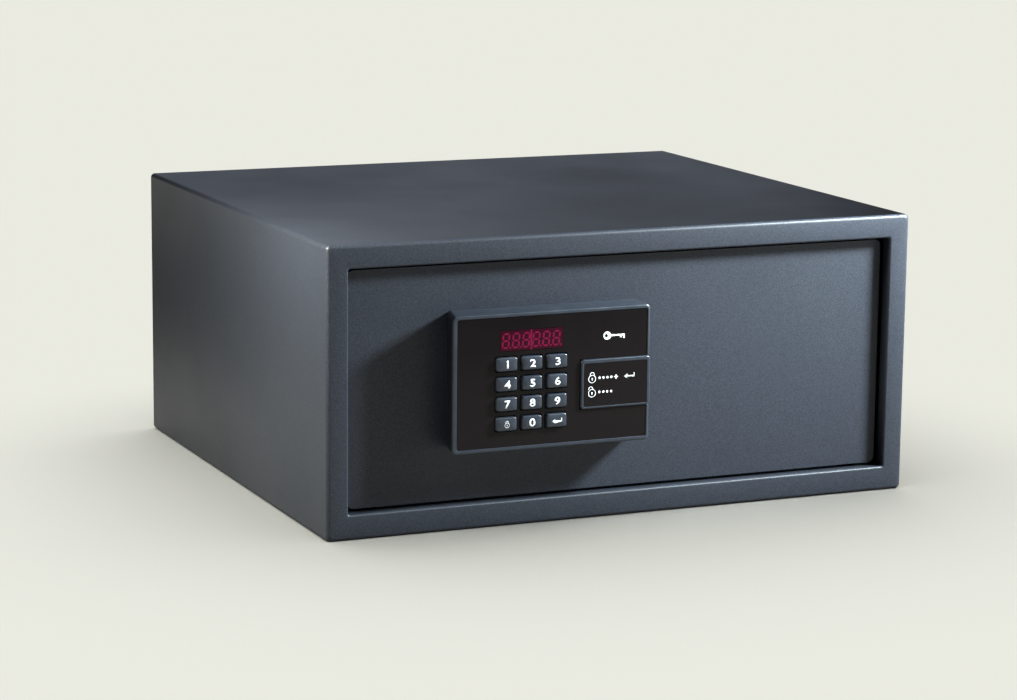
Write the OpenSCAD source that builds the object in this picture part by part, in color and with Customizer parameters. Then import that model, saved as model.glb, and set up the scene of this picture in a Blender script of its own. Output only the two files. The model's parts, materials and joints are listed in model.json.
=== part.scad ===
// In-room safe: a welded steel cabinet, a recessed door on concealed pins, a motor-driven
// pair of bolts, and an electronic keypad unit on the door.
// Frame: origin at the centre of the cabinet's base, +X right, +Y to the back, +Z up.
// Depths are counted from the front plane towards the back, by the function at().

/* [Cabinet] */
// Outside width of the cabinet
cabinet_w = 430; // [370:5:520]
// Outside height of the cabinet
cabinet_h = 195; // [165:5:260]
// Outside depth of the cabinet, without the keypad unit
cabinet_d = 380; // [260:5:460]
// Thickness of the wrapped body sheet and of the rear panel
sheet_t = 2; // [1.5:0.5:3]
// Outside radius of the long bends
bend_r = 3; // [2.5:0.5:5]
// Thickness of the floor mat
mat_t = 3; // [2:0.5:6]

/* [Anchor holes] */
// Radius of the holes for the anchor bolts
anchor_r = 5.5; // [4:0.5:7]
// Hole spacing across, in the floor and in the rear panel
anchor_x = 280; // [160:10:300]
// Hole spacing from front to back, in the floor
anchor_y = 200; // [100:10:210]
// Height of the holes in the rear panel
anchor_z = 100; // [60:5:120]
// Radius of the clearance round each hole in the mat
mat_hole_r = 13; // [12:1:20]

/* [Front frame] */
// Width of the frame beside the door
frame_side = 15; // [13:1:24]
// Width of the frame above the door
frame_top = 16; // [14:1:24]
// Width of the frame below the door
frame_bottom = 17; // [14:1:24]
// Thickness of the frame's face
frame_t = 3; // [2:0.5:4]
// Thickness of the return that lines the opening
return_t = 2; // [1.5:0.5:2.5]

/* [Door] */
// How far the door's face lies behind the frame's face
door_recess = 8; // [5:1:12]
// Thickness of the door plate
door_t = 4; // [3:0.5:6]
// Gap round the door, except on the hinge side
door_gap = 2; // [1.5:0.5:3]
// Gap on the hinge side
hinge_gap = 3; // [2.5:0.5:4]
// Corner radius of the door plate
door_r = 4; // [2:0.5:8]
// Radius of the hinge pins
pin_r = 2.5; // [2:0.25:3.5]
// Radial running clearance of the pins in the knuckles
pin_fit = 0.05; // [0.02:0.01:0.1]
// Height of a hinge knuckle
knuckle_h = 14; // [10:1:24]
// Thickness of the hinge washers
washer_t = 1; // [0.8:0.1:1.5]

/* [Bolt work] */
// Radius of the locking bolts
bolt_r = 9; // [6:0.5:11]
// Distance between the two bolts
bolt_spacing = 75; // [60:1:80]
// Travel of the bolts
bolt_throw = 18; // [12:1:19]
// Length of a bolt
bolt_l = 50; // [45:1:60]
// Wall of the bolt guides
guide_wall = 3; // [2:0.5:4]
// Number of teeth on the drive pinion
pinion_teeth = 18; // [17:1:22]
// Module of the rack and pinion
gear_module = 1; // [0.8:0.1:1.2]

/* [Keypad unit] */
// Width of the keypad housing
housing_w = 143; // [138:1:160]
// Height of the keypad housing
housing_h = 92.4; // [90:0.1:110]
// How far the housing stands out from the door
housing_d = 22; // [20:1:30]
// How far the grip side leans in towards the door
housing_lean = 5.5; // [0:0.5:7]
// Corner radius of the housing
housing_r = 3; // [2:0.5:4]
// Distance from the door's free edge to the housing
housing_from_edge = 64.3; // [60:0.1:70]
// Width of a key
key_w = 14.4; // [12:0.1:15]
// Height of a key
key_h = 9; // [8:0.1:10.5]
// Gap between two keys across
key_gap_x = 3.6; // [3.6:0.1:4]
// Gap between two keys up and down
key_gap_z = 4.3; // [3.6:0.1:4.6]
// Travel of a key
key_travel = 1.2; // [0.5:0.1:1.3]
// Width of the display window
display_w = 45.4; // [40:0.1:50]
// Height of the display window
display_h = 14; // [12:0.1:16]

/* [Hidden] */
$fn = 48;

// --- colours
coat = "#3a3f4a";
steel = "#b9bcc0";
zinc = "#c9c6b4";
brass = "#c7a24a";
black = "#141214";
rubber = "#1b1b1c";

// --- cabinet
front_y = -cabinet_d / 2;
half_w = cabinet_w / 2;
wall_x = half_w - sheet_t;          // inner face of a side wall
roof_z = cabinet_h - sheet_t;       // inner face of the top
return_depth = door_recess + 2;     // short, so that the door's edge can turn behind it

// --- opening and door plate
open_l = -half_w + frame_side;
open_r = half_w - frame_side;
open_b = frame_bottom;
open_t = cabinet_h - frame_top;
door_l = open_l + door_gap;
door_rt = open_r - hinge_gap;
door_b = open_b + door_gap;
door_top = open_t - door_gap;
door_z = (door_b + door_top) / 2;
door_face = door_recess;            // depth of the door's face
door_back = door_recess + door_t;   // depth of the door plate's back

// --- hinge
swing_fit = 0.5;                    // free space between the open door and the return
pin_cover = 1;                      // metal between the door plate and the pin
hinge_dy = pin_r + pin_cover;       // axis behind the door plate
hinge_x = open_r - door_t - hinge_dy - swing_fit;
hinge_depth = door_back + hinge_dy;
leaf_t = 3;
leaf_gap = washer_t + 0.2;          // between a leaf and the door's edge
knuckle_r = pin_r + 2.5;
pin_head_t = 1.5;
leaf_top_z = door_top + leaf_gap;   // underside of the upper leaf
leaf_low_z = door_b - leaf_gap;     // upper side of the lower leaf
leaf_room = 1;                      // between the frame's return and a leaf
tab_h = 20;

// --- door stops
bumper_gap = 0.3;
bumper_t = 2.2;
bumper_r = 3;
stop_depth = door_back + bumper_gap + bumper_t;
stop_t = 2;
stop_reach = 6;                     // how far a stop stands into the opening
stop_from_hinge = 28;
stop_from_lock = 24;

// --- lock case on the back of the door
case_t = 1.5;
case_room = 2;                      // from a guide to the case's front and back
case_depth = 2 * (bolt_r + guide_wall + case_room);
case_l = door_l + 9;
case_r = hinge_x - knuckle_r - 4;
case_edge = 9;                      // from the door's edge to the case
case_b = door_b + case_edge;
case_top = door_top - case_edge;
case_in = door_back;                // depth where the case starts
case_out = door_back + case_depth;  // depth where its cover starts
cover_t = 1.2;
post_r = 3.5;
screw_r = 1.5;
screw_head_r = 3;
screw_fit = 0.1;
post_inset = 9;

// --- bolts and rack
bolt_depth = case_in + case_depth / 2;
bolt_tip = case_l - 1;
bolt_fit = 0.2;
bolt_chamfer = 1.5;
bolt_z = [door_z - bolt_spacing / 2, door_z + bolt_spacing / 2];
guide_l = 12;
guide_flange = 1.5;
carriage_t = 4;
carriage_x = bolt_tip + bolt_l;
rack_t = 5;
rack_back = case_out - 1.5;         // depth of the rack's back face
rack_front = rack_back - rack_t;

// --- keypad housing
housing_l = door_l + housing_from_edge;
housing_rt = housing_l + housing_w;
housing_rise = 2.4;                 // housing centre above the door's centre
housing_z = door_z + housing_rise;
housing_b = housing_z - housing_h / 2;
housing_t = housing_z + housing_h / 2;
unit_front = door_face - housing_d; // depth of the housing's front rim
housing_wall = 2;
rim_left = 3.7;
rim_right = 2.1;
rim_top = 2.8;
rim_bottom = 3;
fascia_drop = 0.4;
fascia_t = 2;
fascia_fit = 0.1;
fascia_front = unit_front + fascia_drop;
fascia_back = fascia_front + fascia_t;
ledge = 1;                          // what the fascia rests on, at the top, bottom and right
ledge_left = 2;
fascia_l = housing_l + rim_left;
fascia_rt = housing_rt - rim_right;
fascia_b = housing_b + rim_bottom;
fascia_top = housing_t - rim_top;
wall_right = rim_right + ledge;
boss_r = 4;
boss_l = 8;
boss_inset = 9;

// --- keys and board
keys = [["key_1", 0, 0], ["key_2", 1, 0], ["key_3", 2, 0],
    ["key_4", 0, 1], ["key_5", 1, 1], ["key_6", 2, 1],
    ["key_7", 0, 2], ["key_8", 1, 2], ["key_9", 2, 2],
    ["key_close", 0, 3], ["key_0", 1, 3], ["key_enter", 2, 3]];
key_first_z = housing_t - 33.9;     // centre of the top row
key_stand = 2.5;                    // how far a key stands out of the housing's rim
key_well = 0.9;                     // gap between a key and its hole
key_lip = 1.7;                      // flange that keeps the key behind the fascia
key_lip_t = 1.1;
key_r = 1;
lip_fit = 0.1;
key_pitch_x = key_w + key_gap_x;
key_pitch_z = key_h + key_gap_z;
cover_w = 51;                       // the service cover, which the keys stand clear of
cover_fit = 0.3;
service_l = housing_rt - cover_w;
well_t = 1.5;
key_field_gap = 6.9;                // from the right keys' flanges to the service well
key_first_x = service_l - cover_fit - well_t - key_field_gap - key_lip - key_w / 2
    - 2 * key_pitch_x;              // centre of the left column
board_t = 1.6;
key_back = fascia_back + lip_fit + key_lip_t;
switch_tip = key_back + key_travel + 0.1;
switch_stem = 1;
switch_body = 2;
switch_w = 6;
board_front = switch_tip + switch_stem + switch_body;
board_margin = 5;
board_post_r = 2.4;
board_screw_r = 1;
display_x = key_first_x + key_pitch_x + 0.3;
display_z = key_first_z + 15.3;
display_fit = 0.2;

// --- service cover and override lock
cover_h = 33.4;
cover_proud = 1.2;
cover_d = 3.2;
label_t = 0.4;
service_z = housing_b + 41;
service_b = service_z - cover_h / 2;
service_top = service_z + cover_h / 2;
override_x = service_l + 19;
override_z = service_z;
socket_x = override_x + 18.5;
well_depth = unit_front + 5;        // depth of the service well's floor
flange_t = 1.5;                     // flanges of the lock and of the socket on that floor
socket_r = 4;
socket_fit = 0.1;
plug_r = 5;
plug_fit = 0.05;
barrel_r = 7.5;
barrel_fit = 0.2;
nut_t = 2.4;
cam_gap = 0.4;
cam_t = 3;
cam_w = 6;
cam_l = 22;
cam_hub_r = 6.5;
cam_depth = door_back + nut_t + cam_gap;
plug_tail_r = 3;

// --- rack, pinion and motor
push_r = 2.5;                       // pin on the rack bar that the cam pushes
push_gap = 0.7;
push_x = override_x + cam_w / 2 + push_gap + push_r;
rack_mid_z = override_z - 17;
rack_h = 8;
tooth_play = 0.12;
pitch_z = rack_mid_z + rack_h / 2 - gear_module;
pinion_pr = pinion_teeth * gear_module / 2;
pinion_x = housing_l + 31;
pinion_z = pitch_z + pinion_pr;
pressure = 20;
motor_r = 14;
motor_l = rack_front - door_back - 2.3;
motor_face = door_back + 1 + motor_l;
bracket_t = 1.3;
bracket_leg = motor_r + 3;
bracket_foot = 9;
bracket_half = 7;                   // half the bracket's height
motor_screw_x = motor_r * 0.6;      // from the shaft to a motor screw
motor_head_r = 2.6;
motor_head_t = 0.8;
terminal_w = 8;
terminal_h = 4;
shaft_r = 2;

// --- batteries
cell_r = 7.1;
cell_l = 49;
cell_pitch = 15;
cells = 4;
box_wall = 1.2;
contact_t = 0.5;
contact_room = 2.5;                 // from a wall of the box to a cell's end
box_air = 0.5;
box_l = override_x + 45;
box_w = cell_l + 2 * (box_wall + contact_room);
box_h = cells * cell_pitch + 2 * box_wall;
box_z = door_z;
box_front = case_out - 2 * cell_r - 2 * box_air - box_wall;
hatch_lap = 4;
hatch_t = 1.6;
hatch_fit = 0.4;

// --- leads: routes as [x, depth, z], from the board to the motor and to the battery box
lead_r = 1.5;
lead_sides = 8;
grommet_r = 6;
grommet_hole = 4.5;
cable_x = housing_l + 58;
cable_z = housing_b + 14;
lead_plug_d = 3;
lead_start = board_front + board_t + lead_plug_d;
motor_route = [[cable_x - 2, lead_start, cable_z], [cable_x - 2, lead_start + 3, cable_z],
    [cable_x - 2, door_back + 2, cable_z], [cable_x - 4, door_back + 5, cable_z],
    [cable_x - 10, door_back + 6, cable_z - 1], [pinion_x + 8, door_back + 7, cable_z - 3],
    [pinion_x + 1, door_back + 8, cable_z - 2],
    for (up = [4, 2, 0]) [pinion_x, door_back + 8, pinion_z - motor_r - terminal_h - up]];
battery_route = [[cable_x + 2, lead_start, cable_z], [cable_x + 2, lead_start + 3, cable_z],
    [cable_x + 2, door_back + 2, cable_z], [cable_x + 4, door_back + 4, cable_z - 1],
    [cable_x + 10, door_back + 5, cable_z - 6], [cable_x + 20, door_back + 5, cable_z - 12],
    [cable_x + 40, door_back + 5, cable_z - 16], [box_l - 30, door_back + 5, cable_z - 14],
    [box_l - 16, door_back + 6, cable_z - 8], [box_l - 9, door_back + 7, cable_z],
    [box_l - 7, door_back + 12, cable_z + 6],
    for (before = [4, 2, 0]) [box_l - before, box_front + 8, cable_z + 8]];

// Depth from the front plane, as a Y coordinate
function at(depth) = front_y + depth;

// --- helpers
// A plate seen from the front, between two depths; its children are drawn in X and Z
module plate(near, far)
    translate([0, at(far), 0]) rotate([90, 0, 0]) linear_extrude(far - near) children();

// A prism seen from above, between two heights; its children are drawn in X and Y
module prism(low, high) translate([0, 0, low]) linear_extrude(high - low) children();

module rect(x0, x1, z0, z1) translate([x0, z0]) square([x1 - x0, z1 - z0]);

module round_rect(x0, x1, z0, z1, r) {
    rect(x0 + r, x1 - r, z0, z1);
    rect(x0, x1, z0 + r, z1 - r);
    for (x = [x0 + r, x1 - r], z = [z0 + r, z1 - r]) translate([x, z]) circle(r);
}

module block(x0, x1, near, far, z0, z1)
    translate([x0, at(near), z0]) cube([x1 - x0, far - near, z1 - z0]);

// A round bar along Y, between two depths
module rod_y(x, z, near, far, r)
    translate([x, at(near), z]) rotate([-90, 0, 0]) cylinder(h = far - near, r = r);

module rod_x(x0, x1, depth, z, r)
    translate([x0, at(depth), z]) rotate([0, 90, 0]) cylinder(h = x1 - x0, r = r);

module rod_z(x, depth, z0, z1, r)
    translate([x, at(depth), z0]) cylinder(h = z1 - z0, r = r);

// A pan-head screw along Y: the head is on the far side, the shank runs towards the front
module screw(x, z, head_depth, head_t, shank_l, r, head_r) {
    rod_y(x, z, head_depth, head_depth + head_t, head_r);
    rod_y(x, z, head_depth - shank_l, head_depth, r);
}

// --- cabinet
module anchor_holes_floor(r)
    for (x = [-1, 1], y = [-1, 1])
        translate([x * anchor_x / 2, y * anchor_y / 2, -1]) cylinder(h = mat_t + 10, r = r);

module cabinet_shell() color(coat) difference() {
    plate(frame_t, cabinet_d) round_rect(-half_w, half_w, 0, cabinet_h, bend_r);
    plate(frame_t - 1, cabinet_d + 1)
        round_rect(-wall_x, wall_x, sheet_t, roof_z, bend_r - sheet_t);
    anchor_holes_floor(anchor_r);
}

module rear_panel() color(coat) difference() {
    plate(cabinet_d - sheet_t, cabinet_d)
        round_rect(-wall_x, wall_x, sheet_t, roof_z, bend_r - sheet_t);
    for (x = [-1, 1])
        rod_y(x * anchor_x / 2, anchor_z, cabinet_d - 10, cabinet_d + 1, anchor_r);
}

module front_frame() color(coat) difference() {
    union() {
        plate(0, frame_t) round_rect(-half_w, half_w, 0, cabinet_h, bend_r);
        plate(frame_t, return_depth)
            rect(open_l - return_t, open_r + return_t, open_b - return_t, open_t + return_t);
    }
    plate(-1, return_depth + 1) rect(open_l, open_r, open_b, open_t);
}

module door_stops() color(coat) {
    x0 = open_l + stop_from_lock;
    x1 = open_r - stop_from_hinge;
    block(x0, x1, stop_depth, stop_depth + stop_t, open_t - stop_reach, roof_z);
    block(x0, x1, stop_depth, stop_depth + stop_t, sheet_t, open_b + stop_reach);
}

module door_bumpers() color(rubber)
    for (x = [open_l + stop_from_lock + 10, open_r - stop_from_hinge - 40],
         z = [open_b + stop_reach - bumper_r, open_t - stop_reach + bumper_r])
        rod_y(x, z, stop_depth - bumper_t, stop_depth, bumper_r);

module strike_plate() color(steel) {
    x1 = open_l - return_t;
    difference() {
        block(x1 - 3, x1, frame_t, case_out + 5, case_b, case_top);
        for (z = bolt_z) rod_x(x1 - 4, x1 + 1, bolt_depth, z, bolt_r + 0.75);
    }
}

// A hinge leaf welded to the side wall, with a tab that runs up or down the wall
module hinge_bracket(z0, tab_z) color(steel) difference() {
    union() {
        block(hinge_x - 8, wall_x, return_depth + leaf_room, hinge_depth + 9, z0, z0 + leaf_t);
        block(wall_x - leaf_t, wall_x, return_depth + leaf_room, hinge_depth + 9,
            tab_z, tab_z + tab_h);
    }
    rod_z(hinge_x, hinge_depth, z0 - 1, z0 + leaf_t + 1, pin_r + pin_fit);
}

module hinge_brackets() {
    hinge_bracket(leaf_top_z, leaf_top_z + leaf_t - tab_h);
    hinge_bracket(leaf_low_z - leaf_t, leaf_low_z - leaf_t);
}

module hinge_pins() color(steel) {
    low = leaf_low_z - leaf_t;
    high = leaf_top_z + leaf_t;
    rod_z(hinge_x, hinge_depth, low, leaf_low_z + washer_t + knuckle_h - 3, pin_r);
    rod_z(hinge_x, hinge_depth, low - pin_head_t, low, pin_r + 1.5);
    rod_z(hinge_x, hinge_depth, leaf_top_z - washer_t - knuckle_h + 3, high, pin_r);
    rod_z(hinge_x, hinge_depth, high, high + pin_head_t, pin_r + 1.5);
}

module hinge_washers() color("#d8d2c0")
    for (z = [leaf_low_z, leaf_top_z - washer_t]) difference() {
        rod_z(hinge_x, hinge_depth, z, z + washer_t, knuckle_r);
        rod_z(hinge_x, hinge_depth, z - 1, z + washer_t + 1, pin_r + pin_fit);
    }

module floor_mat() color("#26282c") difference() {
    block(-wall_x + 4, wall_x - 4, stop_depth + stop_t + 2, cabinet_d - sheet_t - 3,
        sheet_t, sheet_t + mat_t);
    anchor_holes_floor(mat_hole_r);
}

// --- door
housing_screw_x = [housing_l + boss_inset + housing_lean, housing_rt - boss_inset];
housing_screw_z = [housing_b + boss_inset, housing_t - boss_inset];

module door_plate() color(coat) difference() {
    plate(door_face, door_back) round_rect(door_l, door_rt, door_b, door_top, door_r);
    for (x = housing_screw_x, z = housing_screw_z)
        rod_y(x, z, door_face - 1, door_back + 1, screw_r + 0.4);
    rod_y(cable_x, cable_z, door_face - 1, door_back + 1, grommet_r);
    rod_y(override_x, override_z, door_face - 1, door_back + 1, barrel_r + barrel_fit);
}

module hinge_knuckles() color(steel)
    for (z = [leaf_low_z + washer_t, leaf_top_z - washer_t - knuckle_h]) difference() {
        union() {
            rod_z(hinge_x, hinge_depth, z, z + knuckle_h, knuckle_r);
            block(hinge_x - knuckle_r, hinge_x + knuckle_r - 1, door_back, hinge_depth,
                z, z + knuckle_h);
        }
        rod_z(hinge_x, hinge_depth, z - 1, z + knuckle_h + 1, pin_r + pin_fit);
        block(hinge_x - knuckle_r - 1, hinge_x + knuckle_r + 1, door_face, door_back,
            z - 1, z + knuckle_h + 1);
    }

module lock_case() color(zinc) difference() {
    block(case_l, case_r, case_in, case_out, case_b, case_top);
    block(case_l + case_t, case_r - case_t, case_in - 1, case_out + 1,
        case_b + case_t, case_top - case_t);
    for (z = bolt_z) rod_x(case_l - 1, case_l + case_t + 1, bolt_depth, z, bolt_r + bolt_fit);
}

post_x = [case_l + 2 * post_inset, (case_l + case_r) / 2, case_r - post_inset];
post_z = [case_b + post_inset, case_top - post_inset];

module case_cover() color(zinc) difference() {
    block(case_l, case_r, case_out, case_out + cover_t, case_b, case_top);
    for (x = post_x, z = post_z)
        rod_y(x, z, case_out - 1, case_out + cover_t + 1, screw_r + screw_fit);
    block(box_l + box_wall, box_l + box_w - box_wall, case_out - 1, case_out + cover_t + 1,
        box_z - box_h / 2 + box_wall, box_z + box_h / 2 - box_wall);
}

module case_posts() color(steel)
    for (x = post_x, z = post_z) difference() {
        rod_y(x, z, case_in, case_out, post_r);
        rod_y(x, z, case_out - 10, case_out + 1, screw_r + screw_fit);
    }

module cover_screws() color(steel)
    for (x = post_x, z = post_z) difference() {
        screw(x, z, case_out + cover_t, 2, 9, screw_r, screw_head_r);
        for (turn = [0, 90])
            translate([x, at(case_out + cover_t + 2), z]) rotate([0, turn, 0])
                cube([3.4, 2, 0.8], center = true);
    }

module bolt_guides() color(brass)
    for (z = bolt_z) difference() {
        union() {
            rod_x(case_l + case_t, case_l + case_t + guide_l, bolt_depth, z,
                bolt_r + guide_wall);
            rod_x(case_l + case_t, case_l + case_t + guide_flange, bolt_depth, z,
                bolt_r + guide_wall + 1);
        }
        rod_x(case_l, case_l + case_t + guide_l + 1, bolt_depth, z, bolt_r + bolt_fit);
    }

// --- motor drive
module gear_motor() color("#9aa0a6") difference() {
    union() {
        rod_y(pinion_x, pinion_z, door_back + 1, motor_face, motor_r);
        block(pinion_x - terminal_w / 2, pinion_x + terminal_w / 2, door_back + 4,
            door_back + 12, pinion_z - motor_r - terminal_h, pinion_z - motor_r + 3);
    }
    rod_y(pinion_x, pinion_z, motor_face - 4, motor_face + 1, shaft_r + 0.1);
    for (x = [-1, 1])
        rod_y(pinion_x + x * motor_screw_x, pinion_z, motor_face - 6, motor_face + 1,
            screw_r + screw_fit);
}

module motor_bracket() color(steel) {
    x0 = pinion_x - bracket_leg;
    x1 = pinion_x + bracket_leg;
    z0 = pinion_z - bracket_half;
    z1 = pinion_z + bracket_half;
    difference() {
        union() {
            block(x0 - bracket_t, x1 + bracket_t, motor_face, motor_face + bracket_t, z0, z1);
            for (x = [x0 - bracket_t, x1])
                block(x, x + bracket_t, door_back, motor_face, z0, z1);
            block(x0 - bracket_foot, x0, door_back, door_back + bracket_t, z0, z1);
            block(x1, x1 + bracket_foot, door_back, door_back + bracket_t, z0, z1);
        }
        rod_y(pinion_x, pinion_z, motor_face - 1, motor_face + bracket_t + 1, 4);
        for (x = [pinion_x - motor_screw_x, pinion_x + motor_screw_x]) {
            rod_y(x, pinion_z, motor_face - 1, motor_face + bracket_t, screw_r + screw_fit);
            rod_y(x, pinion_z, motor_face + bracket_t - motor_head_t,
                motor_face + bracket_t + 1, motor_head_r + screw_fit);
        }
    }
}

module motor_screws() color(steel)
    for (x = [-1, 1])
        screw(pinion_x + x * motor_screw_x, pinion_z, motor_face + bracket_t - motor_head_t,
            motor_head_t, 5, screw_r, motor_head_r);

// Involute function of an angle in degrees, as degrees
function inv(a) = tan(a) * 180 / PI - a;

// Half the angle that a pinion tooth takes at a radius
function half_tooth(r, base) = 90 / pinion_teeth + inv(pressure) - inv(acos(base / r))
    - tooth_play / 2 / pinion_pr * 180 / PI;

function polar(r, a) = [r * cos(a), r * sin(a)];

module pinion_outline() {
    base = pinion_pr * cos(pressure);
    root = pinion_pr - 1.25 * gear_module;
    tip = pinion_pr + gear_module;
    steps = 4;
    pitch = 360 / pinion_teeth;
    polygon([for (n = [0:pinion_teeth - 1]) let (mid = -90 + (n + 0.5) * pitch) each concat(
        [polar(root, mid - half_tooth(base, base))],
        [for (s = [0:steps]) let (r = base + (tip - base) * s / steps)
            polar(r, mid - half_tooth(r, base))],
        [for (s = [steps:-1:0]) let (r = base + (tip - base) * s / steps)
            polar(r, mid + half_tooth(r, base))],
        [polar(root, mid + half_tooth(base, base))])]);
}

module drive_pinion() color(brass) {
    translate([pinion_x, 0, pinion_z]) plate(rack_front + 0.3, rack_back - 0.3)
        difference() {
            pinion_outline();
            circle(shaft_r);
        }
    rod_y(pinion_x, pinion_z, motor_face - 3.5, rack_back, shaft_r);
}

// --- bolts
module lock_bolts() color("#d5d8db")
    for (z = bolt_z) {
        rod_x(bolt_tip + bolt_chamfer, carriage_x, bolt_depth, z, bolt_r);
        translate([bolt_tip, at(bolt_depth), z]) rotate([0, 90, 0])
            cylinder(h = bolt_chamfer, r1 = bolt_r - bolt_chamfer, r2 = bolt_r);
    }

module bolt_carriage() color(steel) difference() {
    block(carriage_x, carriage_x + carriage_t, bolt_depth - bolt_r, rack_back,
        bolt_z[0] - bolt_r - 2, bolt_z[1] + bolt_r + 2);
    for (z = [door_z + 12, door_z + 24])
        rod_x(carriage_x - 1, carriage_x + carriage_t + 1, bolt_depth, z, 3);
}

module rack_outline() {
    pitch = PI * gear_module;
    low = rack_mid_z - rack_h / 2;
    tip = pitch_z + gear_module;
    root = pitch_z - 1.25 * gear_module;
    half = pitch / 4 - tooth_play / 2;
    lean = tan(pressure);
    teeth_left = floor((pinion_x - carriage_x - carriage_t - 6) / pitch);
    teeth_right = ceil((bolt_throw + 8) / pitch);
    x0 = carriage_x + carriage_t;
    x1 = push_x + push_r + 2;
    polygon(concat([[x0, low], [x0, root]],
        [for (n = [-teeth_left:teeth_right]) let (x = pinion_x + n * pitch) each
            [[x - half - (pitch_z - root) * lean, root], [x - half + gear_module * lean, tip],
             [x + half - gear_module * lean, tip], [x + half + (pitch_z - root) * lean, root]]],
        [[x1, root], [x1, low]]));
}

module rack_bar() color(steel) {
    plate(rack_front, rack_back) rack_outline();
    rod_y(push_x, rack_mid_z, cam_depth - 0.2, rack_front, push_r);
}

// --- batteries
module battery_box() color(black) difference() {
    z0 = box_z - box_h / 2;
    z1 = box_z + box_h / 2;
    block(box_l, box_l + box_w, box_front, case_out, z0, z1);
    block(box_l + box_wall, box_l + box_w - box_wall, box_front + box_wall, case_out + 1,
        z0 + box_wall, z1 - box_wall);
}

cell_depth = box_front + box_wall + box_air + cell_r;
cell_x = box_l + box_w / 2 - cell_l / 2;
cell_z = [for (n = [0:cells - 1]) box_z + (n - (cells - 1) / 2) * cell_pitch];

module batteries() color("#b98a3c")
    for (n = [0:cells - 1]) {
        nub_x = n % 2 == 0 ? cell_x + cell_l - 1 : cell_x;
        rod_x(cell_x + 1, cell_x + cell_l - 1, cell_depth, cell_z[n], cell_r);
        rod_x(nub_x, nub_x + 1, cell_depth, cell_z[n], 2.7);
    }

// A spring contact at each end of each cell; a spring reaches further where there is no nub
module battery_contacts() color(steel)
    for (n = [0:cells - 1], side = [0, 1]) {
        x0 = box_l + box_wall;
        x1 = box_l + box_w - box_wall;
        flat_end = side == n % 2 ? 0 : 1;
        x = side == 1 ? x0 : x1 - contact_t;
        block(x, x + contact_t, cell_depth - 5, cell_depth + 5, cell_z[n] - 5, cell_z[n] + 5);
        if (side == 1) rod_x(x0 + contact_t, cell_x + flat_end, cell_depth, cell_z[n], 2);
        else rod_x(cell_x + cell_l - flat_end, x1 - contact_t, cell_depth, cell_z[n], 2);
    }

module battery_cover() color(zinc) {
    z0 = box_z - box_h / 2;
    z1 = box_z + box_h / 2;
    far = case_out + cover_t;
    difference() {
        union() {
            plate(far, far + hatch_t)
                round_rect(box_l - hatch_lap, box_l + box_w + hatch_lap,
                    z0 - hatch_lap, z1 + hatch_lap, 3);
            block(box_l + box_wall + hatch_fit, box_l + box_w - box_wall - hatch_fit,
                case_out, far, z0 + box_wall + hatch_fit, z1 - box_wall - hatch_fit);
        }
        for (n = [0:3])
            block(box_l + box_w - 4 - 4 * n, box_l + box_w - 2 - 4 * n, far + hatch_t - 0.6,
                far + hatch_t + 1, box_z - 14, box_z + 14);
    }
}

// --- leads
function sub(a, b) = [a.x - b.x, a.y - b.y, a.z - b.z];
function unit(v) = v / norm(v);

// A Catmull-Rom curve through the route, four steps to a stretch
function curve_point(p, n, t) = let (
    last = len(p) - 1,
    a = p[max(0, n - 1)], b = p[n], c = p[min(last, n + 1)], d = p[min(last, n + 2)])
    0.5 * ((2 * b) + (c - a) * t + (2 * a - 5 * b + 4 * c - d) * t * t
        + (3 * b - a - 3 * c + d) * t * t * t);

function smooth_route(p) = [
    for (n = [0:len(p) - 2], s = [0:3]) curve_point(p, n, s / 4),
    p[len(p) - 1]];

// A round tube of eight sides along a route of points [x, depth, z]
module lead(route) {
    flat = smooth_route(route);
    path = [for (p = flat) [p.x, at(p.y), p.z]];
    last = len(path) - 1;
    dirs = [for (n = [0:last]) unit(sub(path[min(n + 1, last)], path[max(n - 1, 0)]))];
    side = [for (d = dirs) unit(cross(d, abs(d.x) < 0.8 ? [1, 0, 0.3] : [0, 0.3, 1]))];
    ring = [for (n = [0:last], k = [0:lead_sides - 1]) let (
        a = k * 360 / lead_sides, u = side[n], v = cross(dirs[n], side[n]))
        path[n] + lead_r * (u * cos(a) + v * sin(a))];
    s = lead_sides;
    polyhedron(ring, concat(
        [[for (k = [s - 1:-1:0]) k]],
        [for (n = [0:last - 1], k = [0:s - 1])
            [n * s + k, n * s + (k + 1) % s, (n + 1) * s + (k + 1) % s, (n + 1) * s + k]],
        [[for (k = [0:s - 1]) last * s + k]]));
}

module motor_lead() color("#a8322a") lead(motor_route);

module battery_lead() color("#2b2b2e") lead(battery_route);

module cable_grommet() color(rubber) difference() {
    union() {
        rod_y(cable_x, cable_z, door_face, door_back + 1.5, grommet_r);
        rod_y(cable_x, cable_z, door_back, door_back + 1.5, grommet_r + 2);
    }
    rod_y(cable_x, cable_z, door_face - 1, door_back + 3, grommet_hole);
}

// --- keypad housing
// The housing's plan outline: the grip side leans in towards the door
module housing_plan(near, far, inset) {
    lean = housing_lean / housing_d;
    polygon([[housing_l + inset + lean * (near - unit_front), at(near)],
        [housing_rt - inset, at(near)], [housing_rt - inset, at(far)],
        [housing_l + inset + lean * (far - unit_front), at(far)]]);
}

module housing_body() intersection() {
    prism(housing_b, housing_t) housing_plan(unit_front, door_face, 0);
    plate(unit_front - 1, door_face + 1)
        round_rect(housing_l, housing_rt, housing_b, housing_t, housing_r);
}

// The hollow behind the fascia, which leaves a ledge for it all round
module housing_cavity() intersection() {
    prism(fascia_b + ledge, fascia_top - ledge)
        housing_plan(fascia_back - 0.01, door_face - housing_wall, wall_right);
    block(fascia_l + ledge_left, housing_rt, fascia_back - 0.01, door_face - housing_wall,
        housing_b, housing_t);
}

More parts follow.
